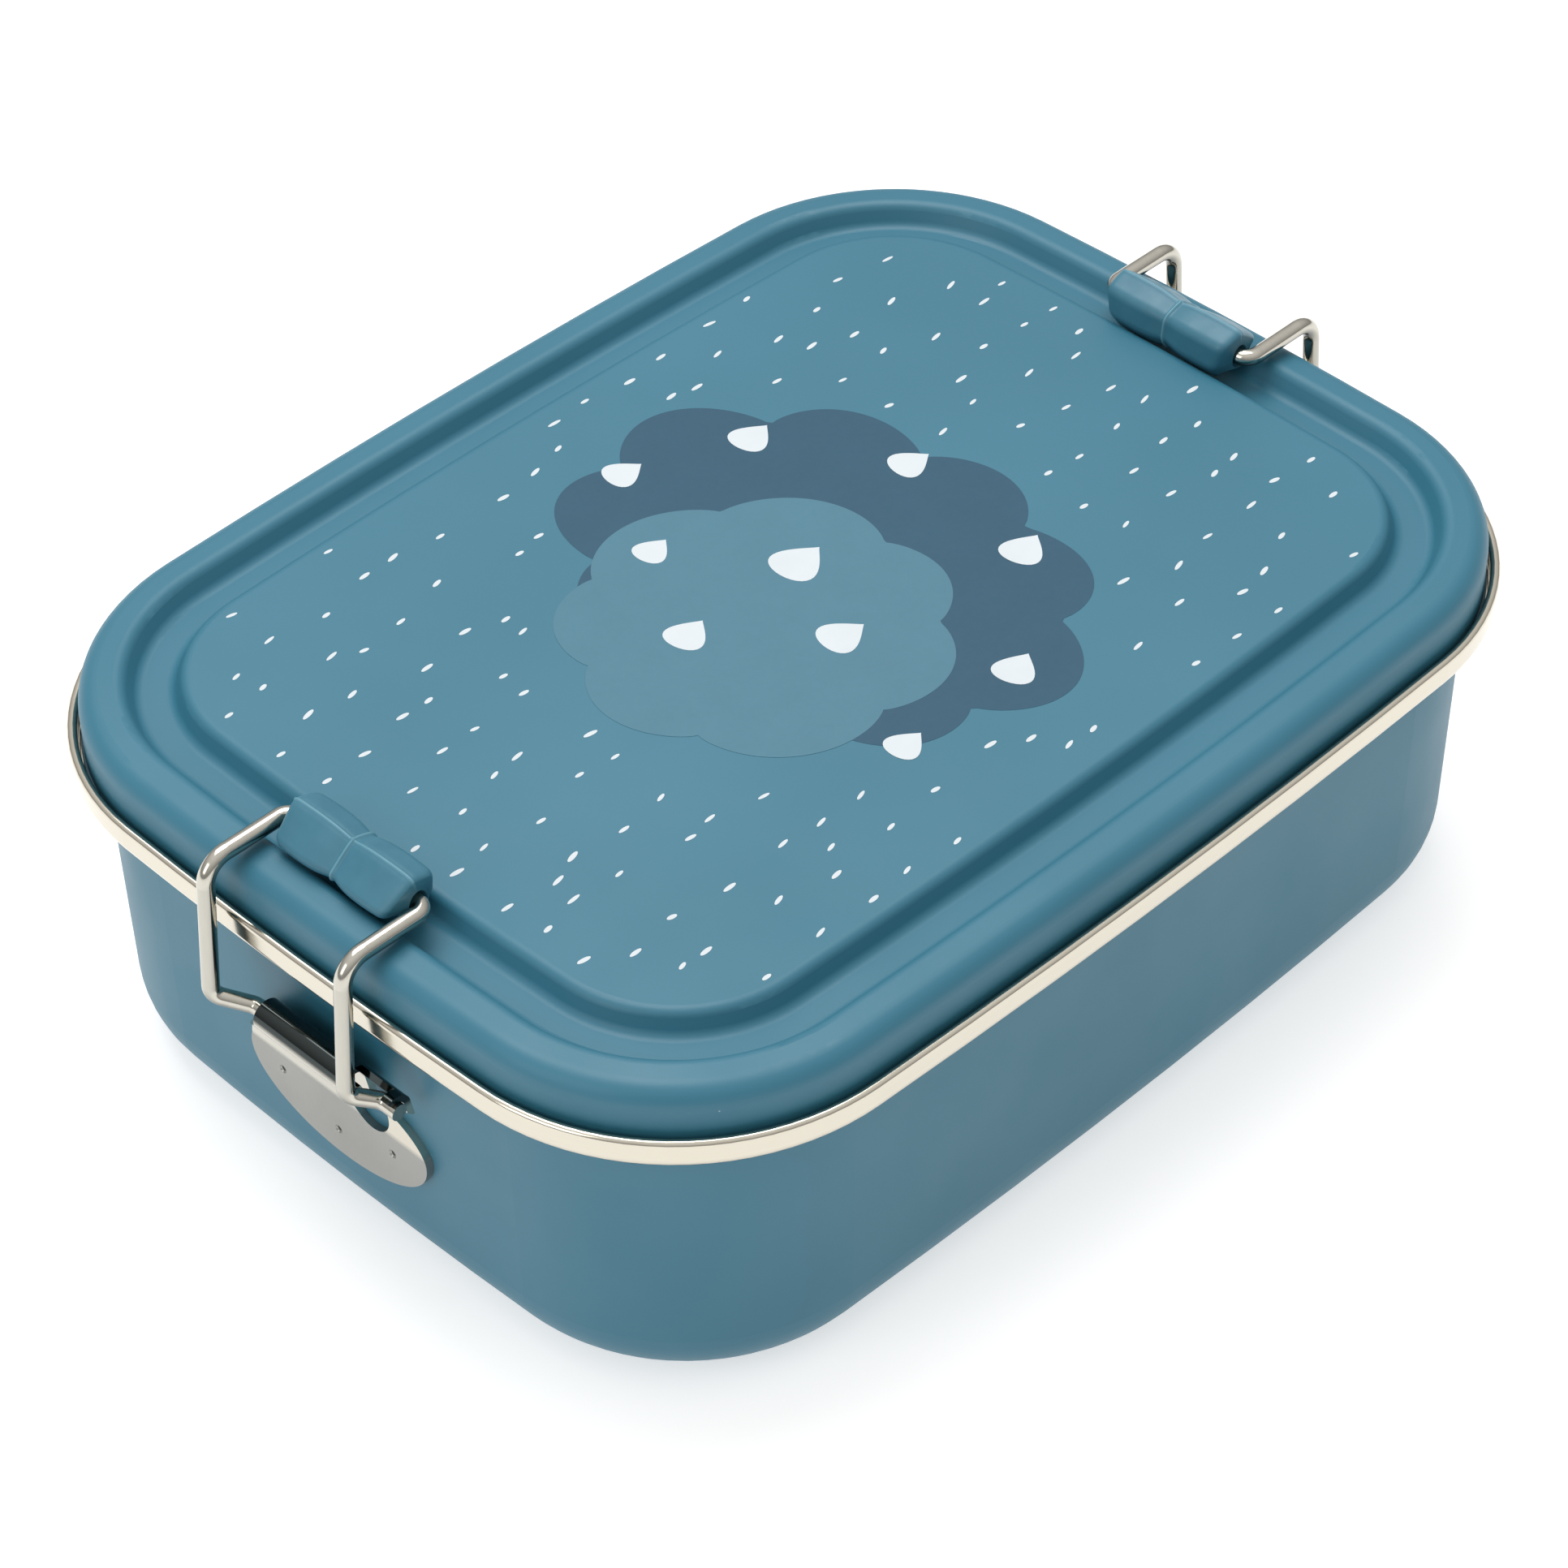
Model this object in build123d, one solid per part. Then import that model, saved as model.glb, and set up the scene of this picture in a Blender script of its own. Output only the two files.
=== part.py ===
from build123d import *
import math
import os

# Steel lunch box: a deep-drawn tub with a stepped rim, a pressed lid with a silicone seal, a wire
# bail latch with a silicone grip at each end, and a loose divider with a silicone edge trim.
# Millimetres.  +X runs from latch to latch, +Y across the box, +Z up.  The origin is the middle of
# the flat underside.  An "inset" is measured inward from the outer face of the rim band.

# Outline of the rim band: eight tangent arcs, so that every inset outline is exact too.
rim_length = 180.0
rim_width = 139.0
rim_corner_radius = 36.0
long_side_radius = 1430.0
short_side_radius = 920.0

# Tub
tub_thickness = 0.7
tub_height = 51.2
rim_band_height = 4.4
rim_hem_height = 2.2
shelf_width = 4.3
tub_draft = 1.0
tub_bottom_radius = 10.0
rim_lower_radius = 1.4
shelf_neck_radius = 0.8

# Lid
lid_thickness = 0.7
lid_above_rim = 6.7
skirt_inset = 2.0
skirt_bottom_above_shelf = 1.2
ridge_outer_drop = 0.5
ridge_outer_radius = 3.0
ridge_inner_inset = 8.0
ridge_inner_radius = 1.7
groove_depth = 3.2
groove_outer_inset = 9.7
groove_inner_inset = 14.5
groove_radius = 1.5
panel_inset = 16.0
panel_radius = 1.6

# Seal: a foot under the skirt's edge and a leg inside the skirt
seal_gap = 0.3
seal_side_gap = 0.3
seal_inner_inset = 4.6
seal_leg_height = 2.8

# Bail wire
wire_diameter = 2.4
bail_spacing = 26.0
bail_rim_gap = 1.4
leg_lean_in = 1.6
arm_lid_gap = 0.8
bail_bend_radius = 3.6
crossbar_bend_radius = 1.8
foot_bend_radius = 1.8
foot_crank_out = 2.8
foot_crank_up = 1.6
left_crank_in = 4.4
left_foot_length = 9.6
right_crank_out = 2.8
right_foot_length = 3.1

# Hinge bracket, measured in its own frame: "out" from the box's middle, "side" along the end wall
bracket_thickness = 1.0
hinge_below_rim = 10.0
barrel_clearance = 0.08
barrel_curl = 282.0
barrel_past_left_crank = 2.1
barrel_short_of_foot_tip = 0.5
window_inside_leg = 2.2
window_past_right_crank = 1.1
window_bridge_from = 118.0
window_bridge_to = 150.0
end_shell_from = 55.0
end_shell_to = 225.0
neck_relief_low = 1.0
neck_relief_gap = 0.2
plate_centre_side = -1.6
plate_past_leg = 4.1
plate_centre_below_rim = 23.4
plate_drop = 9.2
plate_rise = 7.5
plate_fold_below_rim = 22.0
plate_fold_radius = 4.0
plate_into_wall = 2.0
neck_flank_bulge_in = 2.6
neck_flank_bulge_up = 6.5
neck_flank_below_hinge = 0.5
notch_inside_window = 2.4
notch_below_rim = 19.4
notch_radius = 3.5
weld_mark_radius = 0.8
weld_mark_depth = 0.35
weld_mark_places = [(9.4, 24.8), (-1.2, 28.4), (-12.0, 25.2)]

# Grip: its section about the wire, as (outward, up) points and corner radii, and how it swells
grip_length = 23.0
grip_section = [
    (6.3, -0.5), (0.4, 4.2), (-3.6, 2.9), (-4.1, -1.2), (-2.6, -3.6), (-1.4, -4.2), (3.9, -1.3)]
grip_corner_radii = [0.9, 1.8, 1.6, 1.6, 1.0, 1.0, 1.0]
grip_end_scale = 0.86
grip_shoulder_scale = 0.96
grip_waist_scale = 0.90
grip_shoulder_from_end = 1.1
grip_belly_from_end = 4.5
grip_mouth_side_gap = 0.4
grip_mouth_end_gap = 0.7
grip_mouth_depth = 2.5

# Divider
divider_place = 30.0
divider_travel_inner = 60.0
divider_travel_outer = 5.0
divider_thickness = 0.8
divider_top_below_rim = 5.5
divider_side_gap = 0.3
trim_thickness = 3.2
trim_web = 1.2
trim_depth = 4.2
finger_dip_width = 40.0
finger_dip_depth = 5.0

# How far a flat slab runs in under the curved sheet round it, and how far a cutter runs past
slab_run_in = 4.0
cutter_reach = 30.0

# Places that follow from the sizes above
half_length = rim_length / 2
half_width = rim_width / 2
wire_radius = wire_diameter / 2
shelf_bottom = tub_height - rim_band_height
shelf_top = shelf_bottom + tub_thickness
rim_hem_bottom = tub_height - rim_hem_height
rim_hem_inset = 2 * tub_thickness
seal_foot_outer_inset = rim_hem_inset + seal_side_gap
wall_top_inset = shelf_width
wall_foot_inset = shelf_width + tub_draft
lid_top = tub_height + lid_above_rim
skirt_bottom = shelf_top + skirt_bottom_above_shelf
groove_floor = lid_top - groove_depth
leg_out = half_length + bail_rim_gap + wire_radius
hinge_out = leg_out - foot_crank_out
hinge_height = shelf_bottom - hinge_below_rim
arm_height = lid_top + arm_lid_gap + wire_radius
grip_inset = (groove_outer_inset + groove_inner_inset) / 2
grip_out = half_length - grip_inset
left_foot_start = bail_spacing / 2 - left_crank_in
left_foot_end = left_foot_start - left_foot_length
right_foot_start = -bail_spacing / 2 - right_crank_out
right_foot_end = right_foot_start - right_foot_length
barrel_left = left_foot_start - barrel_past_left_crank
barrel_right = right_foot_end + barrel_short_of_foot_tip
window_left = -bail_spacing / 2 + window_inside_leg
window_right = right_foot_start - window_past_right_crank
plate_half_width = bail_spacing / 2 + plate_past_leg
notch_side = window_left + notch_inside_window
barrel_bore_radius = wire_radius + barrel_clearance
barrel_outer_radius = barrel_bore_radius + bracket_thickness
barrel_mid_radius = barrel_bore_radius + bracket_thickness / 2


def corner_centre():
    """Centre of the first corner's arc, tangent inside both side arcs."""
    long_centre = Vector(0, half_width - long_side_radius)
    short_centre = Vector(half_length - short_side_radius, 0)
    reach_long = long_side_radius - rim_corner_radius
    reach_short = short_side_radius - rim_corner_radius
    between = short_centre - long_centre
    distance = between.length
    along = (reach_long**2 - reach_short**2 + distance**2) / (2 * distance)
    across = math.sqrt(reach_long**2 - along**2)
    ahead = between.normalized()
    aside = Vector(ahead.Y, -ahead.X)
    return long_centre + ahead * along + aside * across


def outline_arcs():
    """The rim outline as (centre, radius, start angle, turn), anticlockwise from the +X side."""
    corner = corner_centre()
    short_x = half_length - short_side_radius
    long_y = half_width - long_side_radius
    turn_in = math.degrees(math.atan2(corner.Y, corner.X - short_x))
    turn_out = math.degrees(math.atan2(corner.Y - long_y, corner.X))
    corner_turn = turn_out - turn_in
    arcs = []
    for half_turn in (0, 180):
        sign = 1 if half_turn == 0 else -1
        short_centre = (sign * short_x, 0)
        long_centre = (0, sign * long_y)
        first = (sign * corner.X, sign * corner.Y)
        second = (-sign * corner.X, sign * corner.Y)
        arcs.append((short_centre, short_side_radius, half_turn - turn_in, 2 * turn_in))
        arcs.append((first, rim_corner_radius, half_turn + turn_in, corner_turn))
        arcs.append((long_centre, long_side_radius, half_turn + turn_out, 180 - 2 * turn_out))
        arcs.append((second, rim_corner_radius, half_turn + 180 - turn_out, corner_turn))
    return arcs


def outline_face(inset):
    """The outline at this inset, as a flat face at height zero."""
    edges = [CenterArc(centre, radius - inset, start, turn)
             for centre, radius, start, turn in outline_arcs()]
    return make_face(edges)


def revolved_stretch(section, arc):
    """A section drawn as (minus inset, height), carried round one arc of the outline."""
    centre, radius, start, turn = arc
    angle = math.radians(start)
    outward = (math.cos(angle), math.sin(angle), 0)
    facing = (math.sin(angle), -math.cos(angle), 0)
    plane = Plane(origin=(centre[0], centre[1], 0), x_dir=outward, z_dir=facing)
    placed = plane * Pos(radius, 0, 0) * section
    return revolve(placed, Axis((centre[0], centre[1], 0), (0, 0, 1)), turn)


def ring_of(section):
    """A section carried round the whole outline."""
    stretches = [revolved_stretch(section, arc) for arc in outline_arcs()]
    return stretches[0].fuse(*stretches[1:])


def offset_points(points, distance):
    """The points of an open path, moved to the path's left by a distance."""
    path = [Vector(*point) for point in points]
    moved = []
    for i, point in enumerate(path):
        before = (point - path[i - 1]).normalized() if i > 0 else None
        after = (path[i + 1] - point).normalized() if i < len(path) - 1 else None
        directions = [d for d in (before, after) if d is not None]
        normals = [Vector(-d.Y, d.X) for d in directions]
        middle = sum(normals[1:], normals[0]).normalized()
        moved.append(point + middle * (distance / middle.dot(normals[0])))
    return moved


def offset_radii(points, radii, distance):
    """Corner radii of the moved path: smaller on the inside of a turn, larger outside."""
    path = [Vector(*point) for point in points]
    changed = []
    for i, radius in enumerate(radii):
        before = path[i + 1] - path[i]
        after = path[i + 2] - path[i + 1]
        turn = 1 if before.X * after.Y - before.Y * after.X > 0 else -1
        changed.append(radius - turn * distance)
    return changed


def sheet_section(points, radii, thickness):
    """A bent sheet's section: its given face and another, one thickness to the left."""
    given = FilletPolyline(*points, radius=radii)
    moved_points = offset_points(points, thickness)
    other = FilletPolyline(*moved_points, radius=offset_radii(points, radii, thickness))
    first_end = Line(points[0], moved_points[0])
    last_end = Line(points[-1], moved_points[-1])
    return make_face([given.edges(), other.edges(), first_end.edges(), last_end.edges()])


def polygon_section(points):
    return make_face(Polyline(*points, close=True).edges())


def wall_inset(height):
    """Inset of the tub wall's outer face at a height."""
    return wall_foot_inset - tub_draft * height / shelf_bottom


def rim_hem_section():
    """The sheet turned back on itself along the rim's top, with a round crest."""
    shoulder = tub_height - tub_thickness
    crest = ThreePointArc(
        (0, shoulder), (-tub_thickness, tub_height), (-rim_hem_inset, shoulder))
    sides = Polyline(
        (-rim_hem_inset, shoulder), (-rim_hem_inset, rim_hem_bottom), (0, rim_hem_bottom), (0, shoulder))
    return make_face(crest.edges() + sides.edges())


def make_tub():
    floor_edge = wall_foot_inset + tub_bottom_radius + slab_run_in
    outer_face = [
        (-floor_edge, 0),
        (-wall_foot_inset, 0),
        (-wall_top_inset, shelf_bottom),
        (0, shelf_bottom),
        (0, rim_hem_bottom),
    ]
    radii = [tub_bottom_radius, shelf_neck_radius, rim_lower_radius]
    wall = ring_of(sheet_section(outer_face, radii, tub_thickness) + rim_hem_section())
    floor = extrude(outline_face(floor_edge), tub_thickness)
    return wall.fuse(floor)


def make_lid():
    panel_edge = panel_inset + slab_run_in
    upper_face = [
        (-skirt_inset, skirt_bottom),
        (-skirt_inset, lid_top - ridge_outer_drop),
        (-ridge_inner_inset, lid_top),
        (-groove_outer_inset, groove_floor),
        (-groove_inner_inset, groove_floor),
        (-panel_inset, lid_top),
        (-panel_edge, lid_top),
    ]
    radii = [ridge_outer_radius, ridge_inner_radius, groove_radius, groove_radius, panel_radius]
    border = ring_of(sheet_section(upper_face, radii, lid_thickness))
    panel = extrude(outline_face(panel_edge), -lid_thickness)
    return border.fuse(Pos(0, 0, lid_top) * panel)


def make_lid_seal():
    foot_bottom = shelf_top + seal_gap
    skirt_inner = skirt_inset + lid_thickness
    leg_top = skirt_bottom + seal_leg_height
    section = [
        (-seal_foot_outer_inset, foot_bottom),
        (-seal_inner_inset, foot_bottom),
        (-seal_inner_inset, leg_top),
        (-skirt_inner, leg_top),
        (-skirt_inner, skirt_bottom),
        (-seal_foot_outer_inset, skirt_bottom),
    ]
    return ring_of(polygon_section(section))


def side_prism(section, low_side, high_side):
    """A section drawn as (out, height), made solid between two sides of the right-hand latch."""
    return extrude(Pos(0, -low_side, 0) * (Plane.XZ * section), high_side - low_side)


def front_prism(shape, inner_out, outer_out):
    """A shape drawn as (minus side, height), made solid between two distances out."""
    return extrude(Pos(inner_out, 0, 0) * (Plane.YZ * shape), outer_out - inner_out)


def ring_sector(centre, inner, outer, start, turn):
    arcs = [CenterArc(centre, inner, start, turn), CenterArc(centre, outer, start, turn)]
    caps = [Line(arcs[0] @ end, arcs[1] @ end) for end in (0, 1)]
    return make_face([curve.edges() for curve in arcs + caps])


def plate_face_out():
    """How far out the flat plate's outer face lies: on the end wall, plus its thickness."""
    return half_length - wall_inset(shelf_bottom - plate_fold_below_rim) + bracket_thickness


def bracket_section():
    """Plate, leaning neck and rolled barrel, as one strip in (out, height)."""
    fold_height = shelf_bottom - plate_fold_below_rim
    foot_height = shelf_bottom - plate_centre_below_rim - plate_drop
    fold = Vector(plate_face_out() - bracket_thickness / 2, fold_height)
    hinge = Vector(hinge_out, hinge_height)
    reach = hinge - fold
    lean = math.degrees(math.atan2(reach.X, reach.Y) - math.asin(barrel_mid_radius / reach.length))
    neck_length = math.sqrt(reach.length**2 - barrel_mid_radius**2)
    lean_direction = Vector(math.sin(math.radians(lean)), math.cos(math.radians(lean)))
    tangent = fold + lean_direction * neck_length
    middle = [(fold.X, foot_height), (fold.X, fold.Y), (tangent.X, tangent.Y)]
    inner = offset_points(middle, bracket_thickness / 2)
    outer_radius = plate_fold_radius + bracket_thickness
    strip = sheet_section(inner, [outer_radius], -bracket_thickness)
    barrel = ring_sector(
        (hinge.X, hinge.Y), barrel_bore_radius, barrel_outer_radius, 180 - lean, -barrel_curl)
    return strip + barrel


def end_wall_filler():
    """What lies behind the end wall's outer face, to dress the bracket's plate to the wall."""
    high = shelf_bottom - shelf_neck_radius
    behind = wall_foot_inset + tub_bottom_radius + slab_run_in
    foot = (-behind, 0)
    top = (-wall_inset(high), high)
    wall = FilletPolyline(foot, (-wall_foot_inset, 0), top, radius=[tub_bottom_radius])
    rest = Polyline(top, (-behind, high), foot)
    section = make_face(wall.edges() + rest.edges())
    arc = outline_arcs()[0]
    return revolved_stretch(section, arc)


def plate_outline():
    """The plate's half-ellipse shape seen from the front, as (minus side, height)."""
    centre = Vector(-plate_centre_side, shelf_bottom - plate_centre_below_rim)
    lower = Pos(centre.X, centre.Y) * Ellipse(plate_half_width, plate_drop)
    upper = Pos(centre.X, centre.Y) * Ellipse(plate_half_width, plate_rise)
    wide = 3 * plate_half_width
    below = Pos(centre.X, centre.Y - wide / 2) * Rectangle(wide, wide)
    return (lower & below) + (upper - below)


def neck_outline():
    """Front outline of the neck and barrel: a rounded left flank, straight at the right."""
    left = -plate_centre_side - plate_half_width
    start = shelf_bottom - plate_centre_below_rim
    top = hinge_height + 2 * barrel_outer_radius
    right = -barrel_right
    foot = (left, start)
    bulge = (left + neck_flank_bulge_in, start + neck_flank_bulge_up)
    shoulder = (-barrel_left, hinge_height - neck_flank_below_hinge)
    flank = ThreePointArc(foot, bulge, shoulder)
    rest = Polyline(shoulder, (-barrel_left, top), (right, top), (right, start), foot)
    return make_face(flank.edges() + rest.edges())


def barrel_cutter(keep_from, keep_to, low_side, high_side):
    """Clears the barrel and all below it between two sides, but for the shell between two angles."""
    far = 3 * barrel_outer_radius
    hinge = Vector(hinge_out, hinge_height)
    shell_ends = [Vector(1, 0).rotate(Axis.Z, angle) * far for angle in (keep_from, keep_to)]
    corners = [
        hinge + shell_ends[0],
        hinge,
        hinge + shell_ends[1],
        hinge + Vector(-far, -2 * far),
        hinge + Vector(far, -2 * far),
        hinge + Vector(far, far),
    ]
    section = polygon_section([(corner.X, corner.Y) for corner in corners])
    return side_prism(section, low_side, high_side)


def neck_relief():
    """Parts the neck from the plate beyond the window, so that the plate's horn stands alone."""
    low = shelf_bottom - plate_fold_below_rim + neck_relief_low
    high = hinge_height - barrel_outer_radius - neck_relief_gap
    width = window_left - barrel_right + cutter_reach
    relief = Pos(-window_left + width / 2, (low + high) / 2) * Rectangle(width, high - low)
    return front_prism(relief, plate_face_out() - plate_into_wall, hinge_out + cutter_reach)


def weld_marks():
    face = plate_face_out()
    shift = weld_mark_radius - weld_mark_depth
    ball = Sphere(weld_mark_radius)
    return [Pos(face + shift, -side, shelf_bottom - below) * ball for side, below in weld_mark_places]


def make_bracket():
    """The right-hand bracket; its front shows the same handedness on both ends."""
    section = bracket_section()
    strip = side_prism(section, barrel_right, plate_centre_side + plate_half_width)
    strip = strip & front_prism(neck_outline(), hinge_out - cutter_reach, hinge_out + cutter_reach)
    plate = front_prism(plate_outline(), plate_face_out() - plate_into_wall, plate_face_out())
    notch = Pos(-notch_side, shelf_bottom - notch_below_rim) * Circle(notch_radius)
    notch = front_prism(notch, hinge_out - cutter_reach, hinge_out - barrel_outer_radius)
    strip = strip - barrel_cutter(window_bridge_from, window_bridge_to, window_right, window_left)
    strip = strip - barrel_cutter(end_shell_from, end_shell_to, barrel_right - cutter_reach, window_right)
    strip = strip - neck_relief()
    bracket = (strip + plate) - notch
    bracket = bracket - end_wall_filler()
    for mark in weld_marks():
        bracket = bracket - mark
    return bracket


def bail_path():
    """Centre line of the right-hand bail, from the tip of one foot to the tip of the other."""
    half = bail_spacing / 2
    corner_height = hinge_height + foot_crank_up
    leg_foot_out = leg_out + leg_lean_in / 2
    leg_top_out = leg_out - leg_lean_in / 2
    points = [
        (hinge_out, -left_foot_end, hinge_height),
        (hinge_out, -left_foot_start, hinge_height),
        (leg_foot_out, -half, corner_height),
        (leg_top_out, -half, arm_height),
        (grip_out, -half, arm_height),
        (grip_out, half, arm_height),
        (leg_top_out, half, arm_height),
        (leg_foot_out, half, corner_height),
        (hinge_out, -right_foot_start, hinge_height),
        (hinge_out, -right_foot_end, hinge_height),
    ]
    right_half = [crossbar_bend_radius, bail_bend_radius, foot_bend_radius, foot_bend_radius]
    return FilletPolyline(*points, radius=right_half[::-1] + right_half)


def make_bail():
    path = bail_path()
    section = Plane(origin=path @ 0, z_dir=path % 0) * Circle(wire_radius)
    return sweep(section, path=path.wire())


def grip_slice(side, scale):
    points = [(grip_out + out * scale, arm_height + up * scale) for out, up in grip_section]
    radii = [radius * scale for radius in grip_corner_radii]
    outline = FilletPolyline(*points, radius=radii, close=True)
    return Pos(0, side, 0) * (Plane.XZ * make_face(outline.edges()))


def make_grip():
    end = grip_length / 2
    shoulder = end - grip_shoulder_from_end
    belly = end - grip_belly_from_end
    stations = [
        (-end, grip_end_scale), (-shoulder, grip_shoulder_scale), (-belly, 1.0),
        (0, grip_waist_scale),
        (belly, 1.0), (shoulder, grip_shoulder_scale), (end, grip_end_scale),
    ]
    body = loft([grip_slice(side, scale) for side, scale in stations])
    bore = Pos(0, end + 1, 0) * (Plane.XZ * Pos(grip_out, arm_height) * Circle(wire_radius))
    body = body - extrude(bore, grip_length + 2)
    mouth_width = wire_diameter + 2 * grip_mouth_side_gap
    mouth_height = wire_diameter + 2 * grip_mouth_end_gap
    slot = SlotOverall(mouth_height, mouth_width, rotation=90)
    mouth = Plane.XZ * Pos(grip_out, arm_height) * slot
    for side in (-end - 1, end - grip_mouth_depth):
        body = body - extrude(Pos(0, side, 0) * mouth, -(grip_mouth_depth + 1))
    return body


def divider_outline(gap):
    """The tub's inside section across the box, this far clear of it, as (y, height)."""
    travel = max(divider_place + divider_travel_outer, divider_travel_inner - divider_place)
    furthest = travel + trim_thickness / 2
    bow = long_side_radius - math.sqrt(long_side_radius**2 - furthest**2)
    inner = half_width - bow - tub_thickness - gap
    low = tub_thickness + gap
    top = tub_height - divider_top_below_rim
    corners = [
        (inner - wall_inset(top), top),
        (inner - wall_inset(0), low),
        (wall_inset(0) - inner, low),
        (wall_inset(top) - inner, top),
    ]
    corner = tub_bottom_radius - tub_thickness - gap
    sides = FilletPolyline(*corners, radius=[corner, corner])
    lid_side = Line(corners[-1], corners[0])
    return make_face(sides.edges() + lid_side.edges())


def across_prism(shape, thickness):
    """A shape drawn as (y, height), this thick about the divider's place."""
    return extrude(Pos(divider_place - thickness / 2, 0, 0) * (Plane.YZ * shape), thickness)


def make_divider_plate():
    top = tub_height - divider_top_below_rim
    dip = Pos(0, top) * Ellipse(finger_dip_width / 2, finger_dip_depth)
    shape = divider_outline(divider_side_gap + trim_web) - dip
    return across_prism(shape, divider_thickness)


def make_divider_trim():
    rim = divider_outline(divider_side_gap) - divider_outline(divider_side_gap + trim_depth)
    top = tub_height - divider_top_below_rim
    open_top = half_width - wall_inset(top) - trim_depth - 2 * divider_side_gap
    above = Pos(0, top) * Rectangle(2 * open_top, 2 * divider_side_gap)
    return across_prism(rim - above, trim_thickness) - make_divider_plate()


def write(shape, node):
    export_step(shape, f"parts/{node}.step")


def main():
    os.makedirs("parts", exist_ok=True)
    write(make_tub(), "tub")
    write(make_lid(), "lid")
    write(make_lid_seal(), "lid_seal")
    write(make_divider_plate(), "divider_plate")
    write(make_divider_trim(), "divider_trim")
    latch = {"latch_bracket": make_bracket(), "wire_bail": make_bail(), "grip": make_grip()}
    for name, shape in latch.items():
        write(shape, "right_" + name)
        write(Rot(0, 0, 180) * shape, "left_" + name)


main()
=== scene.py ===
import math

import bpy
from mathutils import Matrix, Vector


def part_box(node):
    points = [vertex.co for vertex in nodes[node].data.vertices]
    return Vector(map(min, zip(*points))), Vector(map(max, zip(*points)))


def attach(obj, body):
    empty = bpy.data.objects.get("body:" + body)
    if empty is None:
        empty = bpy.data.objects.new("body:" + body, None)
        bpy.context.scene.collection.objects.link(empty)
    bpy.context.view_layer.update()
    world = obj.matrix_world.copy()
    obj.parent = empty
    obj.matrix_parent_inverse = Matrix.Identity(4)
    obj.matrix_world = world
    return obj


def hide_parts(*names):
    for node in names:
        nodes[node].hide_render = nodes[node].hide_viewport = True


# Looks of a powder-coated steel lunch box with wire bail latches, silicone grips and a printed lid.
# Metres, +X from latch to latch, +Z up.

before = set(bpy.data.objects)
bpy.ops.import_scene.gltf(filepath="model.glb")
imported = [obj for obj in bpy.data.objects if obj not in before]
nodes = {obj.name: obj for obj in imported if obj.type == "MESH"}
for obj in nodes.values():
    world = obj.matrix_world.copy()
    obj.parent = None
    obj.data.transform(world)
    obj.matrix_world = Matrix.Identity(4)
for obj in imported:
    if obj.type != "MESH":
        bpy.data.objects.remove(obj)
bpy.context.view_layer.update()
millimetre = 0.001

# Places taken from the model, and the ones that follow them
rim_half_length, rim_half_width, rim_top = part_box("tub")[1]
lid_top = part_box("lid")[1][2]
bracket_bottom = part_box("left_latch_bracket")[0][2]
bare_rim_height = 4.3 * millimetre
paint_edge = rim_top - bare_rim_height
paint_edge_waver = 0.06 * millimetre
plate_height = 10.9 * millimetre
plate_fold = bracket_bottom + plate_height
fold_softness = 0.5 * millimetre
hinge_height = rim_top - 14.4 * millimetre
# Heights over which the barrel's top takes a painted dark reflection
barrel_painted_reflection_from = hinge_height - 0.6 * millimetre
barrel_painted_reflection_full = hinge_height + 0.5 * millimetre
# Spot welds, in millimetres to the side and up
weld_places = [(9.4, 22.0), (-1.2, 18.4), (-12.0, 21.6)]
weld_pit_radius = 0.42 * millimetre
grip_names = {"left_grip": "left_bail", "right_grip": "right_bail"}

# Print on the lid's raised panel
panel_inset = 16.3 * millimetre
panel_corner_radius = 20 * millimetre
ink_thickness = 0.03 * millimetre
haze_film = 0.6 * ink_thickness
pale_film = 1.2 * ink_thickness
dash_spacing = 8.1 * millimetre
dash_length = (1.4 * millimetre, 2.3 * millimetre)
dash_width = (0.54 * millimetre, 0.74 * millimetre)
dash_slant = (-0.20, 0.31)
dash_shift = 0.33
dash_sides = 14
dash_panel_margin = 2.6 * millimetre
dash_motif_margin = 3.0 * millimetre
dash_seed = 11

# Colours, scene linear
coat_blue = (0.023, 0.138, 0.205)
coat_blue_light = (0.028, 0.150, 0.222)
night_ink = (0.021, 0.077, 0.128)
haze_ink = (0.064, 0.176, 0.242)
pale_ink = (0.58, 0.63, 0.66)
silicone_blue = (0.030, 0.140, 0.205)
silicone_blue_light = (0.038, 0.158, 0.225)
silicone_bead_highlight = (0.130, 0.310, 0.390)
seal_blue = (0.040, 0.095, 0.130)
seal_blue_light = (0.046, 0.10925, 0.1495)
steel_cream = (0.64, 0.60, 0.51)
# the grey below serves the divider's dull patches and the bracket plate, where it is partly a painted
# dim reflection
dull_and_painted_dim_grey = (0.33, 0.33, 0.31)
steel_wire = (0.56, 0.54, 0.48)
# the dark below marks the spot weld pits and is the painted dark reflection on the wire's lower side and
# the barrel's top
weld_and_painted_reflection_dark = (0.05, 0.06, 0.06)
floor_grey = (0.62, 0.62, 0.62)
sky_white = (1.0, 0.985, 0.965)

# Roughness, at the smoothest and at the roughest places
coat_roughness = (0.44, 0.52)
bare_roughness = (0.10, 0.20)
divider_roughness = (0.25, 0.36)
bracket_roughness = (0.30, 0.40)
rolled_roughness = 0.10
seal_roughness = (0.50, 0.62)
grip_roughness = (0.37, 0.49)
ink_roughness = (0.46, 0.56)

# Textures: scales in repeats to the metre, the specks' size within their cells, and depths
speck_cells = 150.0
speck_radius = 0.017
speck_threshold = 0.93
grain_scale = 5200.0
peel_scale = 700.0
line_scale = 900.0
skin_scale = 3600.0
swell_scale = 420.0
coat_depth = 0.018 * millimetre
ink_depth = 0.014 * millimetre
line_depth = 0.004 * millimetre
bracket_line_depth = 0.003 * millimetre
skin_depth = 0.02 * millimetre
soft_contrast = (0.35, 0.65)


# ---------------------------------------------------------------- node helpers

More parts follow.
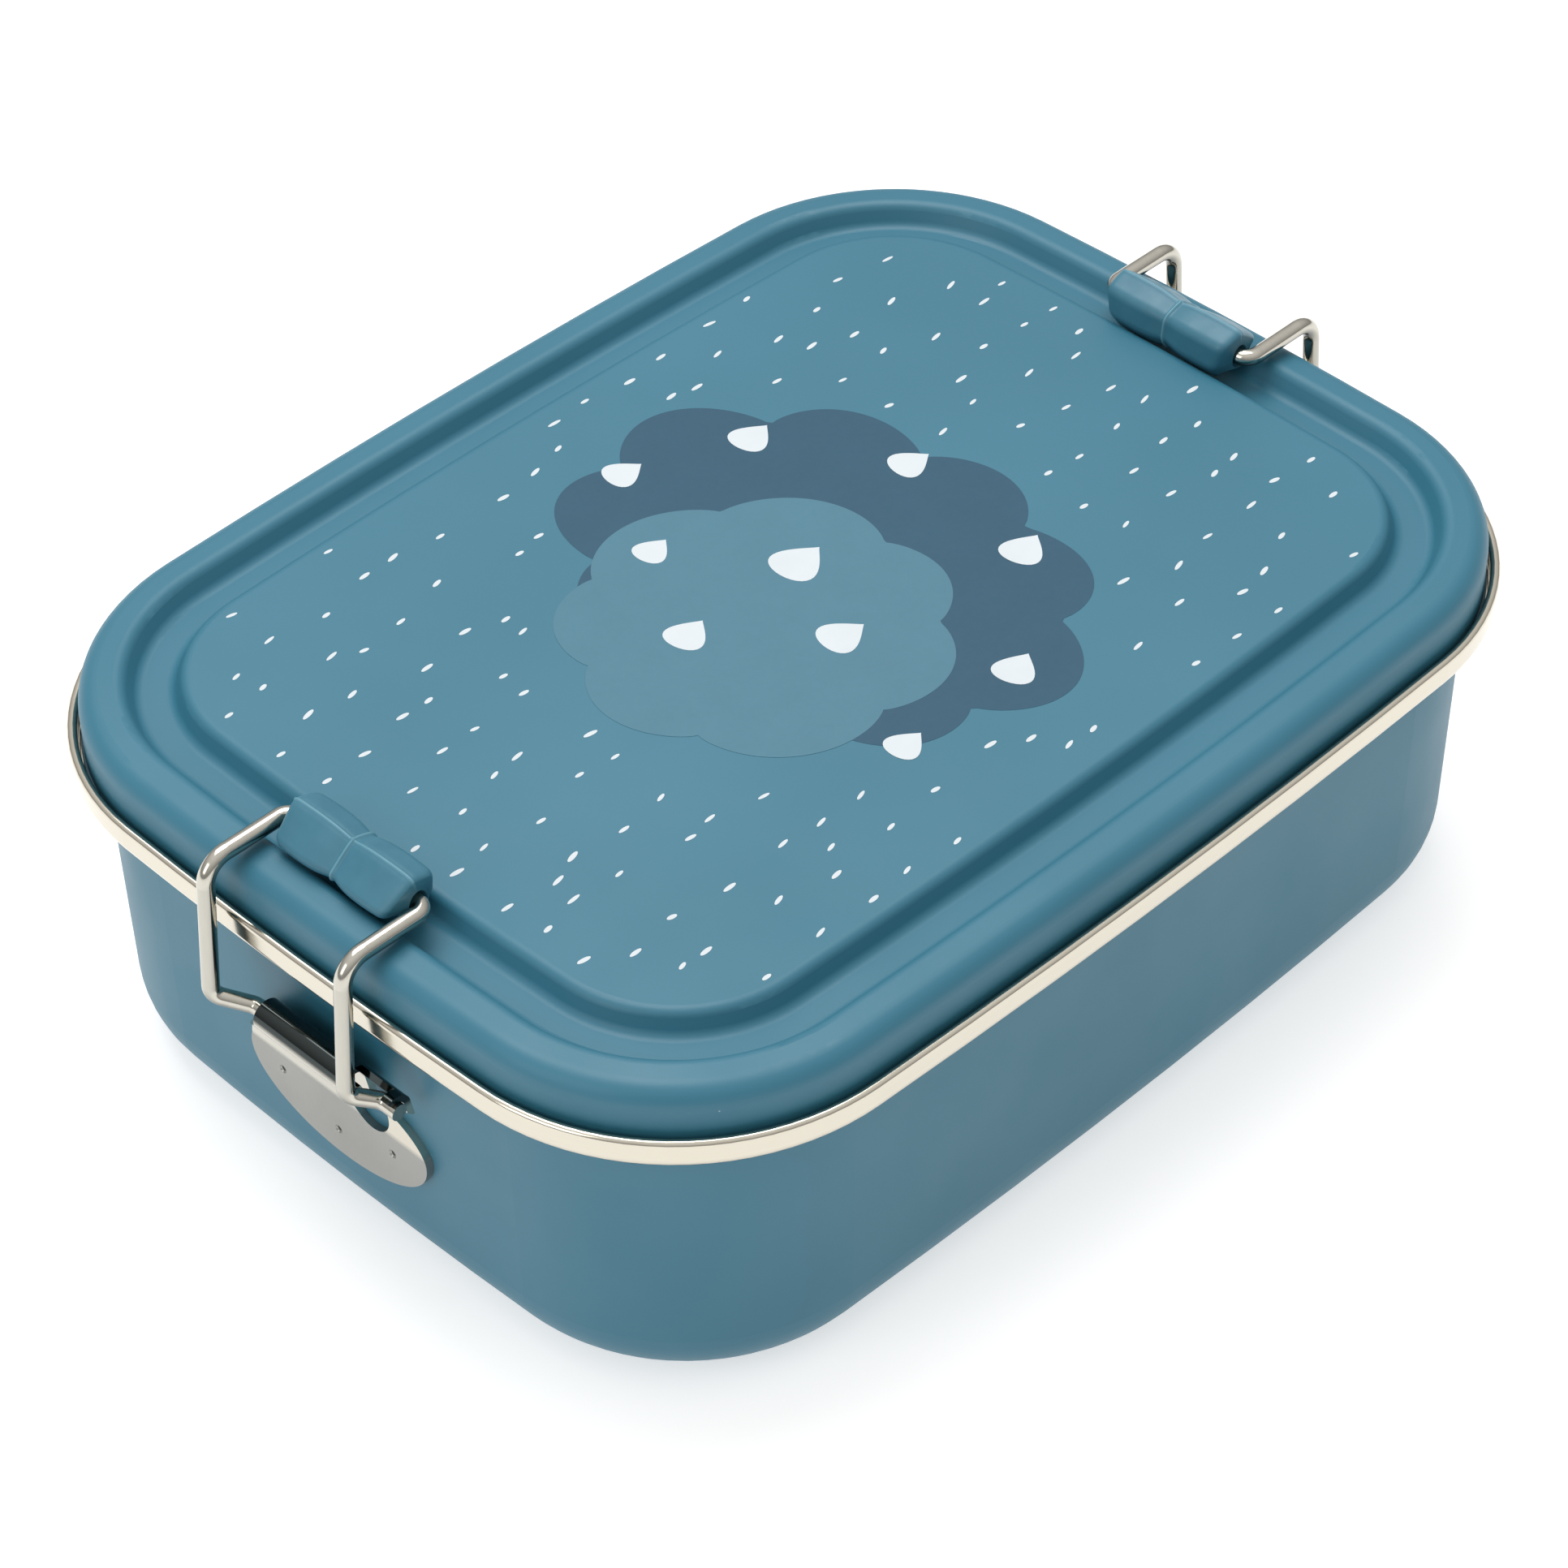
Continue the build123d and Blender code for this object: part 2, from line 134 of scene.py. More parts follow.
class Nodes:
    """A node tree built up by short calls."""

    def __init__(self, tree):
        self.tree = tree

    def add(self, kind, values=None, **settings):
        node = self.tree.nodes.new(kind)
        for name, value in settings.items():
            setattr(node, name, value)
        for name, value in (values or {}).items():
            self.put(node.inputs[name], value)
        return node

    def put(self, socket, value):
        if isinstance(value, bpy.types.NodeSocket):
            self.tree.links.new(value, socket)
        elif isinstance(value, tuple) and len(value) == 3 and socket.type == "RGBA":
            socket.default_value = (*value, 1.0)
        else:
            socket.default_value = value

    def math(self, operation, first, second=0.0):
        node = self.add("ShaderNodeMath", operation=operation)
        self.put(node.inputs[0], first)
        self.put(node.inputs[1], second)
        return node.outputs[0]

    def vector_math(self, operation, first, second=(0.0, 0.0, 0.0)):
        node = self.add("ShaderNodeVectorMath", operation=operation)
        self.put(node.inputs[0], first)
        self.put(node.inputs[1], second)
        return node.outputs["Value" if operation in ("LENGTH", "DOT_PRODUCT") else "Vector"]

    def split(self, vector):
        return self.add("ShaderNodeSeparateXYZ", {"Vector": vector}).outputs


class Shader(Nodes):
    """A material, whose textures lie on the piece's own coordinates."""

    def __init__(self, name):
        self.material = bpy.data.materials.new(name)
        self.material.use_nodes = True
        super().__init__(self.material.node_tree)
        self.surface = self.tree.nodes["Principled BSDF"]
        given = self.add("ShaderNodeTexCoord").outputs
        self.place = given["Object"]
        self.normal = given["Normal"]

    def set(self, name, value):
        self.put(self.surface.inputs[name], value)

    def noise(self, scale, detail=2.0, stretch=(1.0, 1.0, 1.0)):
        """Noise from 0 to 1; stretch multiplies the scale along each axis."""
        mapped = self.add("ShaderNodeMapping", {"Vector": self.place, "Scale": stretch})
        values = {"Vector": mapped.outputs[0], "Scale": scale, "Detail": detail}
        return self.add("ShaderNodeTexNoise", values).outputs["Fac"]

    def ramp(self, value, low, high, to_low=0.0, to_high=1.0):
        values = {"Value": value, "From Min": low, "From Max": high, "To Min": to_low, "To Max": to_high}
        return self.add("ShaderNodeMapRange", values).outputs["Result"]

    def patches(self, scale, detail=2.0, contrast=(0.3, 0.7), between=(0.0, 1.0)):
        """Soft patches that go all the way from one number to another."""
        return self.ramp(self.noise(scale, detail), *contrast, *between)

    def mix(self, share, first, second):
        """A colour that goes from first to second with the share."""
        node = self.add("ShaderNodeMix", data_type="RGBA")
        self.put(node.inputs[0], share)
        self.put(node.inputs[6], first)
        self.put(node.inputs[7], second)
        return node.outputs[2]

    def blend(self, share, first, second):
        """A number that goes from first to second with the share."""
        node = self.add("ShaderNodeMix", data_type="FLOAT")
        self.put(node.inputs[0], share)
        self.put(node.inputs[2], first)
        self.put(node.inputs[3], second)
        return node.outputs[0]

    def bump(self, height, distance, strength):
        values = {"Height": height, "Distance": distance, "Strength": strength}
        self.set("Normal", self.add("ShaderNodeBump", values).outputs[0])


def darker(colour, share):
    return tuple(share * c for c in colour)


# ---------------------------------------------------------------- materials

def coat_specks(shader):
    """Rare pale specks of dust held in the coating."""
    cells = shader.add("ShaderNodeTexVoronoi", {"Vector": shader.place, "Scale": speck_cells})
    near = shader.math("LESS_THAN", cells.outputs["Distance"], speck_radius)
    hue = shader.add("ShaderNodeSeparateColor", {"Color": cells.outputs["Color"]})
    chosen = shader.math("GREATER_THAN", hue.outputs[0], speck_threshold)
    return shader.math("MULTIPLY", near, chosen)


def coat_colour(shader):
    """The blue coat, a little uneven, with its specks."""
    patches = shader.patches(22.0, 3.0, soft_contrast)
    colour = shader.mix(patches, coat_blue, coat_blue_light)
    return shader.mix(shader.math("MULTIPLY", coat_specks(shader), 0.5), colour, pale_ink)


def coat_height(shader):
    """Fine powder grain over a slight orange peel, from 0 to 1."""
    return shader.blend(0.35, shader.noise(grain_scale), shader.noise(peel_scale, 1.0))


def steel_lines(shader, stretch):
    """Fine drawn lines, from 0 to 1, packed closely where the stretch is large."""
    return shader.noise(line_scale, 3.0, stretch)


def radial_facing(shader, height):
    """Above 0 where the surface faces away from a point on the middle axis at this height."""
    outward = shader.vector_math("SUBTRACT", shader.place, (0.0, 0.0, height))
    return shader.vector_math("DOT_PRODUCT", outward, shader.normal)


def coat_and_steel(shader, coated, lines):
    """Powder coat where coated is 1, bare steel elsewhere."""
    steel = shader.mix(lines, darker(steel_cream, 0.93), steel_cream)
    shader.set("Base Color", shader.mix(coated, steel, coat_colour(shader)))
    shader.set("Metallic", shader.math("SUBTRACT", 1.0, coated))
    steel_gloss = shader.blend(lines, *bare_roughness)
    coat_gloss = shader.patches(60.0, 3.0, between=coat_roughness)
    shader.set("Roughness", shader.blend(coated, steel_gloss, coat_gloss))
    faint_lines = shader.math("MULTIPLY", lines, 0.12)
    shader.bump(shader.blend(coated, faint_lines, coat_height(shader)), coat_depth, 0.7)


def tub_finish():
    """Coated outside up to the rim band; the band, the shelf and the inside are bare steel."""
    shader = Shader("coated_tub_with_steel_rim")
    outside = shader.math("GREATER_THAN", radial_facing(shader, rim_top / 2), 0.0)
    ragged = shader.patches(400.0, between=(-paint_edge_waver, paint_edge_waver))
    height = shader.math("ADD", shader.split(shader.place)["Z"], ragged)
    below = shader.math("LESS_THAN", height, paint_edge)
    coated = shader.math("MULTIPLY", outside, below)
    coat_and_steel(shader, coated, steel_lines(shader, (0.25, 0.25, 9.0)))
    return shader.material


def lid_finish():
    """Coated over the top and down the skirt; the underside is bare steel."""
    shader = Shader("coated_lid")
    turned = shader.split(shader.normal)["Z"]
    upward = shader.math("GREATER_THAN", turned, 0.12)
    upright = shader.math("GREATER_THAN", turned, -0.12)
    outward = shader.math("GREATER_THAN", radial_facing(shader, lid_top), 0.0)
    skirt = shader.math("MULTIPLY", upright, outward)
    coated = shader.math("MAXIMUM", upward, skirt)
    coat_and_steel(shader, coated, steel_lines(shader, (6.0, 0.3, 0.3)))
    return shader.material


def divider_finish():
    """Brushed steel with dull patches."""
    shader = Shader("brushed_steel_divider")
    lines = steel_lines(shader, (0.4, 0.4, 8.0))
    brushed = shader.mix(lines, darker(steel_cream, 0.90), steel_cream)
    dull = shader.math("MULTIPLY", shader.patches(120.0), 0.25)
    shader.set("Base Color", shader.mix(dull, brushed, dull_and_painted_dim_grey))
    shader.set("Metallic", 1.0)
    shader.set("Roughness", shader.blend(lines, *divider_roughness))
    shader.bump(lines, line_depth, 0.5)
    return shader.material


def wire_finish():
    """Bright drawn wire, with a painted dark reflection along its lower side."""
    shader = Shader("drawn_wire")
    lines = steel_lines(shader, (2.0, 2.0, 0.3))
    # painted dark reflection: the wire's lower side is darkened by its surface direction
    painted_dark_underside = shader.ramp(shader.split(shader.normal)["Z"], 0.15, -0.55)
    bright = shader.mix(lines, darker(steel_wire, 0.90), steel_wire)
    shader.set("Base Color", shader.mix(painted_dark_underside, bright, weld_and_painted_reflection_dark))
    shader.set("Metallic", 1.0)
    shader.set("Roughness", shader.blend(lines, *bare_roughness))
    shader.bump(lines, line_depth, 0.5)
    return shader.material


def weld_pits(shader, place):
    """1 inside the dark pits of the spot welds, which lie alike on both brackets."""
    end = shader.math("SIGN", place["X"])
    side = shader.math("MULTIPLY", shader.math("MULTIPLY", place["Y"], end), -1.0)
    pits = 0.0
    for weld_side, weld_height in weld_places:
        across = shader.math("SUBTRACT", side, weld_side * millimetre)
        up = shader.math("SUBTRACT", place["Z"], weld_height * millimetre)
        squares = [shader.math("POWER", distance, 2.0) for distance in (across, up)]
        inside = shader.math("LESS_THAN", shader.math("ADD", *squares), weld_pit_radius ** 2)
        pits = shader.math("MAXIMUM", inside, pits)
    return pits


def bracket_finish():
    """A satin plate below the fold, grey partly as a painted dim reflection, a polished neck above it
    and a rolled barrel with a painted dark reflection over its top.
    """
    shader = Shader("rolled_steel_bracket")
    lines = steel_lines(shader, (0.4, 5.0, 0.5))
    place = shader.split(shader.place)
    # the plate's grey is partly its satin finish and partly a painted dim reflection, darker than the
    # polished neck of the same sheet
    satin_painted_dim = shader.mix(shader.patches(90.0, 3.0), darker(dull_and_painted_dim_grey, 0.92), dull_and_painted_dim_grey)
    rolled = shader.ramp(place["Z"], plate_fold - fold_softness, plate_fold + fold_softness)
    # painted dark reflection over the barrel's top, above the hinge's height
    painted_barrel_reflection = shader.ramp(place["Z"], barrel_painted_reflection_from, barrel_painted_reflection_full)
    bright = shader.mix(painted_barrel_reflection, steel_cream, weld_and_painted_reflection_dark)
    clean = shader.mix(rolled, satin_painted_dim, bright)
    shader.set("Base Color", shader.mix(weld_pits(shader, place), clean, weld_and_painted_reflection_dark))
    shader.set("Metallic", 1.0)
    satin_gloss = shader.blend(lines, *bracket_roughness)
    shader.set("Roughness", shader.blend(rolled, satin_gloss, rolled_roughness))
    shader.bump(lines, bracket_line_depth, 0.5)
    return shader.material


def silicone_finish(name, dark, light, roughness):
    """Matt silicone, with a painted highlight along the mould's beads where a mesh marks them."""
    shader = Shader(name)
    body = shader.mix(shader.patches(260.0, 4.0, soft_contrast), dark, light)
    bead = shader.add("ShaderNodeAttribute", attribute_name="bead")
    # painted highlight: the mould's beads are made paler in colour
    painted_bead_highlight = shader.math("MULTIPLY", bead.outputs["Fac"], 0.7)
    shader.set("Base Color", shader.mix(painted_bead_highlight, body, silicone_bead_highlight))
    shader.set("Roughness", shader.patches(500.0, 3.0, between=roughness))
    shader.set("Subsurface Weight", 0.06)
    shader.set("Subsurface Scale", 1.2 * millimetre)
    shader.set("Subsurface Radius", (0.4, 0.8, 1.0))
    skin = shader.blend(0.3, shader.noise(skin_scale), shader.noise(swell_scale))
    shader.bump(skin, skin_depth, 0.6)
    return shader.material


def ink_finish(name, colour):
    """Flat screen-printed ink that keeps the coat's grain."""
    shader = Shader(name)
    shader.set("Base Color", shader.mix(shader.patches(180.0, 3.0), darker(colour, 0.96), colour))
    shader.set("Roughness", shader.patches(900.0, between=ink_roughness))
    shader.set("Specular IOR Level", 0.3)
    shader.bump(coat_height(shader), ink_depth, 0.7)
    return shader.material


# ---------------------------------------------------------------- mesh helpers

def mesh_object(name, points, faces, material):
    mesh = bpy.data.meshes.new(name)
    mesh.from_pydata(points, [], faces)
    mesh.validate()
    mesh.materials.append(material)
    made = bpy.data.objects.new(name, mesh)
    bpy.context.scene.collection.objects.link(made)
    return made


def plain_mesh(made):
    """Replaces a piece's mesh with what its modifiers make of it, and removes them."""
    graph = bpy.context.evaluated_depsgraph_get()
    mesh = bpy.data.meshes.new_from_object(made.evaluated_get(graph))
    made.modifiers.clear()
    made.data = mesh


def film(name, outlines, bottom, top, material):
    """Closed flat films of ink between two heights, one for each outline of (x, y) points."""
    points = []
    faces = []
    for outline in outlines:
        first = len(points)
        count = len(outline)
        points += [(x, y, bottom) for x, y in outline]
        points += [(x, y, top) for x, y in outline]
        faces.append([first + i for i in reversed(range(count))])
        faces.append([first + count + i for i in range(count)])
        for i in range(count):
            after = (i + 1) % count
            faces.append([first + i, first + after, first + count + after, first + count + i])
    return mesh_object(name, points, faces, material)


# ---------------------------------------------------------------- printed motif

cloud_drift = 0.10
cloud_roundness = 0.8
drop_half_length = 0.62
drop_half_width = 0.80
drop_taper = 1.3


def scalloped_outline(centre, reach, lobes, depth, phase, steps=240):
    """A rounded cloud: an oval whose edge swells out in this many round lobes."""
    outline = []
    for step in range(steps):
        angle = 2 * math.pi * step / steps
        drift = angle + cloud_drift * math.sin(2 * angle + phase)
        lobe = abs(math.cos(lobes * drift / 2 + phase)) ** cloud_roundness
        swell = 1 - depth + depth * lobe
        outline.append((centre[0] + reach[0] * swell * math.cos(angle),
                        centre[1] + reach[1] * swell * math.sin(angle)))
    return outline


def drop_outline(centre, size, turn, steps=36):
    """A raindrop, with its tip towards +X before it is turned."""
    outline = []
    for step in range(steps):
        angle = 2 * math.pi * step / steps
        along = drop_half_length * size * math.cos(angle)
        across = drop_half_width * size * math.sin(angle) * math.sin(angle / 2) ** drop_taper
        outline.append((centre[0] + along * math.cos(turn) - across * math.sin(turn),
                        centre[1] + along * math.sin(turn) + across * math.cos(turn)))
    return outline


# Place on the lid and size in millimetres, and turn in radians
drops = [
    (27, -17, 5.4, 0.20), (30, 7, 5.0, -0.15), (19, 27, 5.2, 0.10), (1, 34, 4.8, -0.10),
    (8, -33, 5.2, 0.25), (-13, -33, 4.6, 0.05), (-8, 19, 4.4, 0.12), (4, 3, 6.4, 0.05),
    (-3, -12, 5.6, -0.12), (-17, 3, 5.2, 0.18),
]


def make_motif(night, haze, pale):
    """Two plain clouds, one over the other, and a few raindrops."""
    top = lid_top + ink_thickness
    back = scalloped_outline(
        centre=(0.0055, 0.0), reach=(0.0315, 0.0415), lobes=9, depth=0.15, phase=0.4)
    front = scalloped_outline(
        centre=(-0.0090, -0.0020), reach=(0.0270, 0.0275), lobes=7, depth=0.12, phase=1.3)
    rain = [drop_outline((x * millimetre, y * millimetre), size * millimetre, turn)
            for x, y, size, turn in drops]
    sunk = lid_top - ink_thickness
    return [
        film("printed_cloud_back", [back], sunk, top, night),
        film("printed_cloud_front", [front], sunk, top + haze_film, haze),
        film("printed_raindrops", rain, sunk, top + pale_film, pale),
    ]


# ---------------------------------------------------------------- printed dashes

class Scatter(Nodes):
    """A geometry node tree, with the inputs that a modifier gives it."""

    def __init__(self, name):
        super().__init__(bpy.data.node_groups.new(name, "GeometryNodeTree"))
        self.keys = {}
        self.socket("Geometry", "NodeSocketGeometry")
        self.tree.interface.new_socket("Geometry", in_out="OUTPUT", socket_type="NodeSocketGeometry")
        self.start = self.tree.nodes.new("NodeGroupInput")
        self.end = self.tree.nodes.new("NodeGroupOutput")

    def socket(self, name, kind):
        made = self.tree.interface.new_socket(name, in_out="INPUT", socket_type=kind)
        self.keys[name] = made.identifier

    def combine(self, x, y, z):
        return self.add("ShaderNodeCombineXYZ", {"X": x, "Y": y, "Z": z}).outputs[0]

    def inner_size(self, half, margin):
        """A whole side, less a margin at each end."""
        return self.math("MULTIPLY", self.math("SUBTRACT", half, margin), 2.0)

    def stops(self, length, spacing):
        """How many points this far apart a length holds."""
        spans = self.math("ROUND", self.math("DIVIDE", length, spacing))
        return self.math("ADD", spans, 1.0)

    def random(self, low, high, seed):
        node = self.add("FunctionNodeRandomValue", data_type="FLOAT")
        self.put(node.inputs[2], low)
        self.put(node.inputs[3], high)
        self.put(node.inputs["Seed"], seed)
        return node.outputs[1]


def dash_tree():
    """Scatters dashes over the panel, clear of its edge and of two pieces."""
    tree = Scatter("scattered_dashes")
    numbers = ["Half Length", "Half Width", "Corner Radius", "Height", "Spacing", "Shift",
               "Shortest", "Longest", "Narrowest", "Widest", "Film", "Edge Margin", "Piece Margin"]
    for name in numbers:
        tree.socket(name, "NodeSocketFloat")
    tree.socket("Seed", "NodeSocketInt")
    tree.socket("Keep Clear Of", "NodeSocketObject")
    tree.socket("And Clear Of", "NodeSocketObject")
    tree.socket("Ink", "NodeSocketMaterial")
    given = tree.start.outputs
    seed = given["Seed"]

    length = tree.inner_size(given["Half Length"], given["Edge Margin"])
    width = tree.inner_size(given["Half Width"], given["Edge Margin"])
    grid = tree.add("GeometryNodeMeshGrid", {
        "Size X": length,
        "Size Y": width,
        "Vertices X": tree.stops(length, given["Spacing"]),
        "Vertices Y": tree.stops(width, given["Spacing"]),
    })
    shift = tree.math("MULTIPLY", given["Spacing"], given["Shift"])
    back = tree.math("MULTIPLY", shift, -1.0)
    jitter = tree.combine(tree.random(back, shift, seed),
                          tree.random(back, shift, tree.math("ADD", seed, 1.0)), given["Height"])
    placed = tree.add("GeometryNodeSetPosition", {"Geometry": grid.outputs["Mesh"], "Offset": jitter})

    place = tree.split(tree.add("GeometryNodeInputPosition").outputs[0])
    beyond = []
    for axis, half in (("X", "Half Length"), ("Y", "Half Width")):
        straight = tree.math("SUBTRACT", given[half], given["Corner Radius"])
        past = tree.math("SUBTRACT", tree.math("ABSOLUTE", place[axis]), straight)
        beyond.append(tree.math("MAXIMUM", past, 0.0))
    corner = tree.combine(*beyond, 0.0)
    room = tree.math("SUBTRACT", given["Corner Radius"], given["Edge Margin"])
    outside = tree.math("GREATER_THAN", tree.vector_math("LENGTH", corner), room)

    others = tree.add("GeometryNodeJoinGeometry")
    for name in ("Keep Clear Of", "And Clear Of"):
        other = tree.add("GeometryNodeObjectInfo", {"Object": given[name]})
        tree.tree.links.new(other.outputs["Geometry"], others.inputs["Geometry"])
    near = tree.add("GeometryNodeProximity", {"Geometry": others.outputs["Geometry"]},
                    target_element="FACES")
    crowded = tree.math("LESS_THAN", near.outputs["Distance"], given["Piece Margin"])
    dropped = tree.math("MAXIMUM", outside, crowded)
    kept = tree.add("GeometryNodeDeleteGeometry",
                    {"Geometry": placed.outputs[0], "Selection": dropped}, domain="POINT")

    grain = tree.add("GeometryNodeMeshCylinder", {"Vertices": dash_sides, "Radius": 0.5, "Depth": 1.0})
    scale = tree.combine(tree.random(given["Shortest"], given["Longest"], tree.math("ADD", seed, 2.0)),
                         tree.random(given["Narrowest"], given["Widest"], tree.math("ADD", seed, 3.0)),
                         given["Film"])
    slant = tree.combine(0.0, 0.0, tree.random(*dash_slant, tree.math("ADD", seed, 4.0)))
    spread = tree.add("GeometryNodeInstanceOnPoints", {
        "Points": kept.outputs[0],
        "Instance": grain.outputs["Mesh"],
        "Rotation": slant,
        "Scale": scale,
    })
    real = tree.add("GeometryNodeRealizeInstances", {"Geometry": spread.outputs[0]})
    inked = tree.add("GeometryNodeSetMaterial", {"Geometry": real.outputs[0], "Material": given["Ink"]})
    tree.tree.links.new(inked.outputs[0], tree.end.inputs[0])
    return tree


def make_dashes(motif, ink):
    tree = dash_tree()
    carrier = mesh_object("printed_dashes", [(0, 0, lid_top)], [], ink)
    modifier = carrier.modifiers.new("dashes", "NODES")
    modifier.node_group = tree.tree
    given = {
        "Half Length": rim_half_length - panel_inset,
        "Half Width": rim_half_width - panel_inset,
        "Corner Radius": panel_corner_radius,
        "Height": lid_top,
        "Spacing": dash_spacing,
        "Shift": dash_shift,
        "Shortest": dash_length[0],
        "Longest": dash_length[1],
        "Narrowest": dash_width[0],
        "Widest": dash_width[1],
        "Film": 2 * ink_thickness,
        "Edge Margin": dash_panel_margin,
        "Piece Margin": dash_motif_margin,
        "Seed": dash_seed,
        "Keep Clear Of": motif[0],
        "And Clear Of": motif[1],
        "Ink": ink,
    }
    for name, value in given.items():
        modifier[tree.keys[name]] = value
    plain_mesh(carrier)
    return carrier


# ---------------------------------------------------------------- silicone grips

# Section of a grip round its wire, in millimetres outward and upward, and its corners' radii
grip_length = 23.0 * millimetre
grip_corners = [
    (6.3, -0.5), (0.4, 4.2), (-3.6, 2.9), (-4.1, -1.2), (-2.6, -3.6), (-1.4, -4.2), (3.9, -1.3)]
grip_radii = [1.1, 2.2, 1.9, 2.0, 1.2, 1.3, 1.0]
grip_depth = 8 * millimetre
grip_end_slant = 0.17
grip_section_points = 176
grip_end_round = 1.5 * millimetre
grip_end_drop = 0.20
grip_cushion = 0.05
grip_cushion_middle = 0.55
grip_waist_dip = 0.09
grip_waist_reach = 2.4 * millimetre
grip_waist_sharpness = 1.6
end_steps = 8
flank_steps = 18
waist_steps = 24
parting_bead = 0.22 * millimetre
parting_bead_angle = 0.055
waist_bead = 0.36 * millimetre
waist_bead_reach = 0.26 * millimetre
mouth_half_width = 1.6 * millimetre
mouth_half_height = 1.9 * millimetre
mouth_rings = [(0.0, 1.0), (0.15 * millimetre, 0.93), (2.4 * millimetre, 0.80)]
wire_radius = 1.2 * millimetre


def rounded_corners(corners, radii, arc_steps=12):
    """The corners of a closed outline, each turned into an arc tangent to its two sides."""
    outline = []
    count = len(corners)
    for i, radius in enumerate(radii):
        here = Vector(corners[i])
        before = (Vector(corners[i - 1]) - here).normalized()
        after = (Vector(corners[(i + 1) % count]) - here).normalized()
        half = before.angle(after) / 2
        centre = here + (before + after).normalized() * (radius / math.sin(half))
        first = here + before * (radius / math.tan(half)) - centre
        last = here + after * (radius / math.tan(half)) - centre
        for step in range(arc_steps + 1):
            share = step / arc_steps
            turned = first.slerp(last, share)
            outline.append(centre + turned.normalized() * radius)
    return outline


def even_points(outline, count):
    """The same closed outline, with its points spaced evenly."""
    lengths = [0.0]
    closed = outline + outline[:1]
    for a, b in zip(closed, closed[1:]):
        lengths.append(lengths[-1] + (b - a).length)
    spaced = []
    segment = 0
    for i in range(count):
        target = lengths[-1] * i / count
        while lengths[segment + 1] < target:
            segment += 1
        span = lengths[segment + 1] - lengths[segment]
        share = (target - lengths[segment]) / span if span > 0 else 0.0
        spaced.append(closed[segment].lerp(closed[segment + 1], share))
    return spaced


def grip_stations():
    """Places along the grip: close together at its ends and at its waist."""
    half = grip_length / 2
    end = [half - grip_end_round * (1 - math.cos(math.pi / 2 * i / end_steps))
           for i in range(end_steps + 1)]
    flank = [grip_waist_reach + (end[-1] - grip_waist_reach) * (1 - i / flank_steps)
             for i in range(1, flank_steps)]
    waist = [grip_waist_reach * (1 - i / waist_steps) for i in range(waist_steps)]
    positive = end + flank + waist
    return [-y for y in positive] + [0.0] + positive[::-1]


def grip_scale(y):
    """How large the section is at a place along the grip: cushioned halves and a soft waist."""
    half = grip_length / 2
    waist = grip_waist_dip * math.exp(-(abs(y) / grip_waist_reach) ** grip_waist_sharpness)
    off_middle = (abs(y) / half - grip_cushion_middle) / (1 - grip_cushion_middle)
    cushion = grip_cushion * off_middle ** 2
    turned = min(1.0, (half - abs(y)) / grip_end_round)
    rounding = grip_end_drop * (1 - math.sqrt(max(0.0, 1 - (1 - turned) ** 2)))
    return 1.0 - cushion - waist - rounding


def slanted(y, up):
    """Ends that lean in towards the grip's lower side."""
    depth = (grip_corners[1][1] * millimetre - up) / grip_depth
    return y * (1 - grip_end_slant * max(0.0, depth))


def section_bead(direction):
    """Height of the mould's parting bead, which runs along the grip's upper edge."""
    ridge = Vector(grip_corners[1]).normalized()
    away = direction.normalized().angle(ridge)
    return parting_bead * math.exp(-(away / parting_bead_angle) ** 2)


def mouth_outline(section):
    """The oval mouth where the wire enters, one point for each point of the section."""
    outline = []
    for point in section:
        angle = math.atan2(point.y, point.x)
        outline.append((mouth_half_width * math.cos(angle), mouth_half_height * math.sin(angle)))
    return outline


def make_grip(name, body, material):
    """A moulded silicone sleeve on the bail's crossbar, in place of its plain solid."""
    low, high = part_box(name)
    sign = 1 if high[0] > 0 else -1
    wire_low, wire_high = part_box(name.replace("grip", "wire_bail"))
    wire_height = wire_high[2] - wire_radius
    crossbar = (wire_low[0] if sign > 0 else wire_high[0]) + sign * wire_radius
    section = even_points(rounded_corners(grip_corners, grip_radii), grip_section_points)
    count = len(section)
    stations = grip_stations()
    points = []
    beads = []
    for y in stations:
        scale = grip_scale(y) * millimetre
        ring = waist_bead * math.exp(-(y / waist_bead_reach) ** 2)
        for corner in section:
            lift = section_bead(corner) + ring
            beads.append(max(ring / waist_bead, section_bead(corner) / parting_bead))
            out, up = corner * scale + corner.normalized() * lift
            points.append((out, slanted(y, up), up))
    mouth = mouth_outline(section)
    faces = []
    rings = len(stations)
    for ring_index in range(rings - 1):
        faces += ring_faces(ring_index * count, (ring_index + 1) * count, count)
    half = grip_length / 2
    for sign_y in (1, -1):
        last = 0 if sign_y == 1 else (rings - 1) * count
        for depth, shrink in mouth_rings:
            first = len(points)
            points += [(x * shrink, sign_y * (depth - half), z * shrink) for x, z in mouth]
            pair = (first, last) if sign_y == 1 else (last, first)
            faces += ring_faces(pair[0], pair[1], count)
            last = first
        cap = [last + i for i in range(count)]
        faces.append(cap[::-1] if sign_y == 1 else cap)
    placed = [(crossbar + sign * out, sign * y, wire_height + up) for out, y, up in points]
    grip = mesh_object(name + "_sleeve", placed, faces, material)
    # the bead attribute places the grip material's painted highlight
    bead = grip.data.attributes.new("bead", "FLOAT", "POINT")
    for i, height in enumerate(beads):
        bead.data[i].value = height
    for polygon in grip.data.polygons:
        polygon.use_smooth = True
    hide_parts(name)
    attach(grip, body)
    return grip


def ring_faces(first, second, count):
    """Quads between two rings of points."""
    return [[first + i, first + (i + 1) % count, second + (i + 1) % count, second + i]
            for i in range(count)]


# ---------------------------------------------------------------- stage

